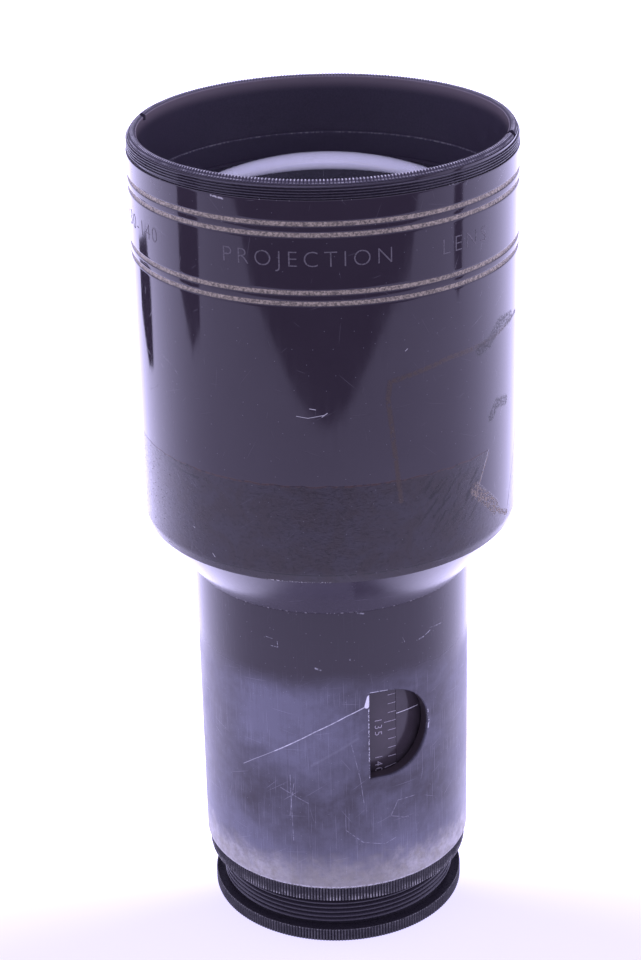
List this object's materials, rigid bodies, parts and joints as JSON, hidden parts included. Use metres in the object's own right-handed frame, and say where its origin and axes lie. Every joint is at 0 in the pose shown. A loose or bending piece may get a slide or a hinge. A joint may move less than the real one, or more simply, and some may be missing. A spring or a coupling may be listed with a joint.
{
  "type": "variable-focus projection lens",
  "caption": "Large black lens with a wide lacquered front housing, a shoulder cone, a slimmer barrel with a D-shaped scale window, a knurled focal ring and a lock ring.",
  "frame": {"origin": "centre of the rear ring's resting face, on the lens axis", "axes": "+Z along the lens axis towards the front glass, -Y through the middle of the reading window's width, +X completes the frame"},
  "size_m": [0.084, 0.084, 0.1883],
  "materials": {
    "lacquered_alloy": "thick glossy black lacquer",
    "worn_barrel_alloy": "satin black lacquer worn to a grey haze",
    "knurled_alloy": "black anodised, knurled, teeth worn bright",
    "blackened_alloy": "matt black",
    "scale_alloy": "black with engraved white-filled marks",
    "screw_steel": "turned steel",
    "coated_glass": "polished, coated",
    "plain_glass": "polished"
  },
  "bodies": {
    "barrel": {"front_housing": "lacquered_alloy", "front_ring": "knurled_alloy", "front_cell": "blackened_alloy", "front_crown_lens": "coated_glass", "front_flint_lens": "plain_glass", "front_lens_retainer": "blackened_alloy", "baffle_ring": "blackened_alloy", "front_spacer_tube": "blackened_alloy", "second_cell": "blackened_alloy", "second_crown_lens": "plain_glass", "second_flint_lens": "plain_glass", "second_lens_retainer": "blackened_alloy", "shoulder_cone": "lacquered_alloy", "rear_barrel": "worn_barrel_alloy", "scale_key": "scale_alloy", "scale_key_screws": "screw_steel"},
    "carriage": {"carrier_tube": "blackened_alloy", "index_sleeve": "scale_alloy", "index_sleeve_screws": "screw_steel", "rear_crown_lens": "plain_glass", "rear_flint_lens": "plain_glass", "rear_spacer_tube": "blackened_alloy", "rear_field_lens": "coated_glass", "rear_lens_retainer": "blackened_alloy", "thrust_ring": "blackened_alloy"},
    "focal_ring": {"focal_ring": "knurled_alloy"},
    "lock_ring": {"lock_ring": "knurled_alloy"}
  },
  "joints": [
    {"name": "focus_slide", "type": "slide", "parent": "barrel", "child": "carriage", "axis": [0, 0, 1], "range_m": [-0.01285, 0.008]},
    {"name": "focus_turn", "type": "hinge", "parent": "carriage", "child": "focal_ring", "pos_m": [0, 0, 0.0015], "axis": [0, 0, 1], "range_deg": [-3855.1, 2400.1]},
    {"name": "lock_turn", "type": "hinge", "parent": "barrel", "child": "lock_ring", "pos_m": [0, 0, 0.0135], "axis": [0, 0, 1], "range_deg": [-40, 0]}
  ],
  "couplings": [
    {"joint": "focus_turn", "follows": "focus_slide", "rad_per_m": 5236}
  ]
}
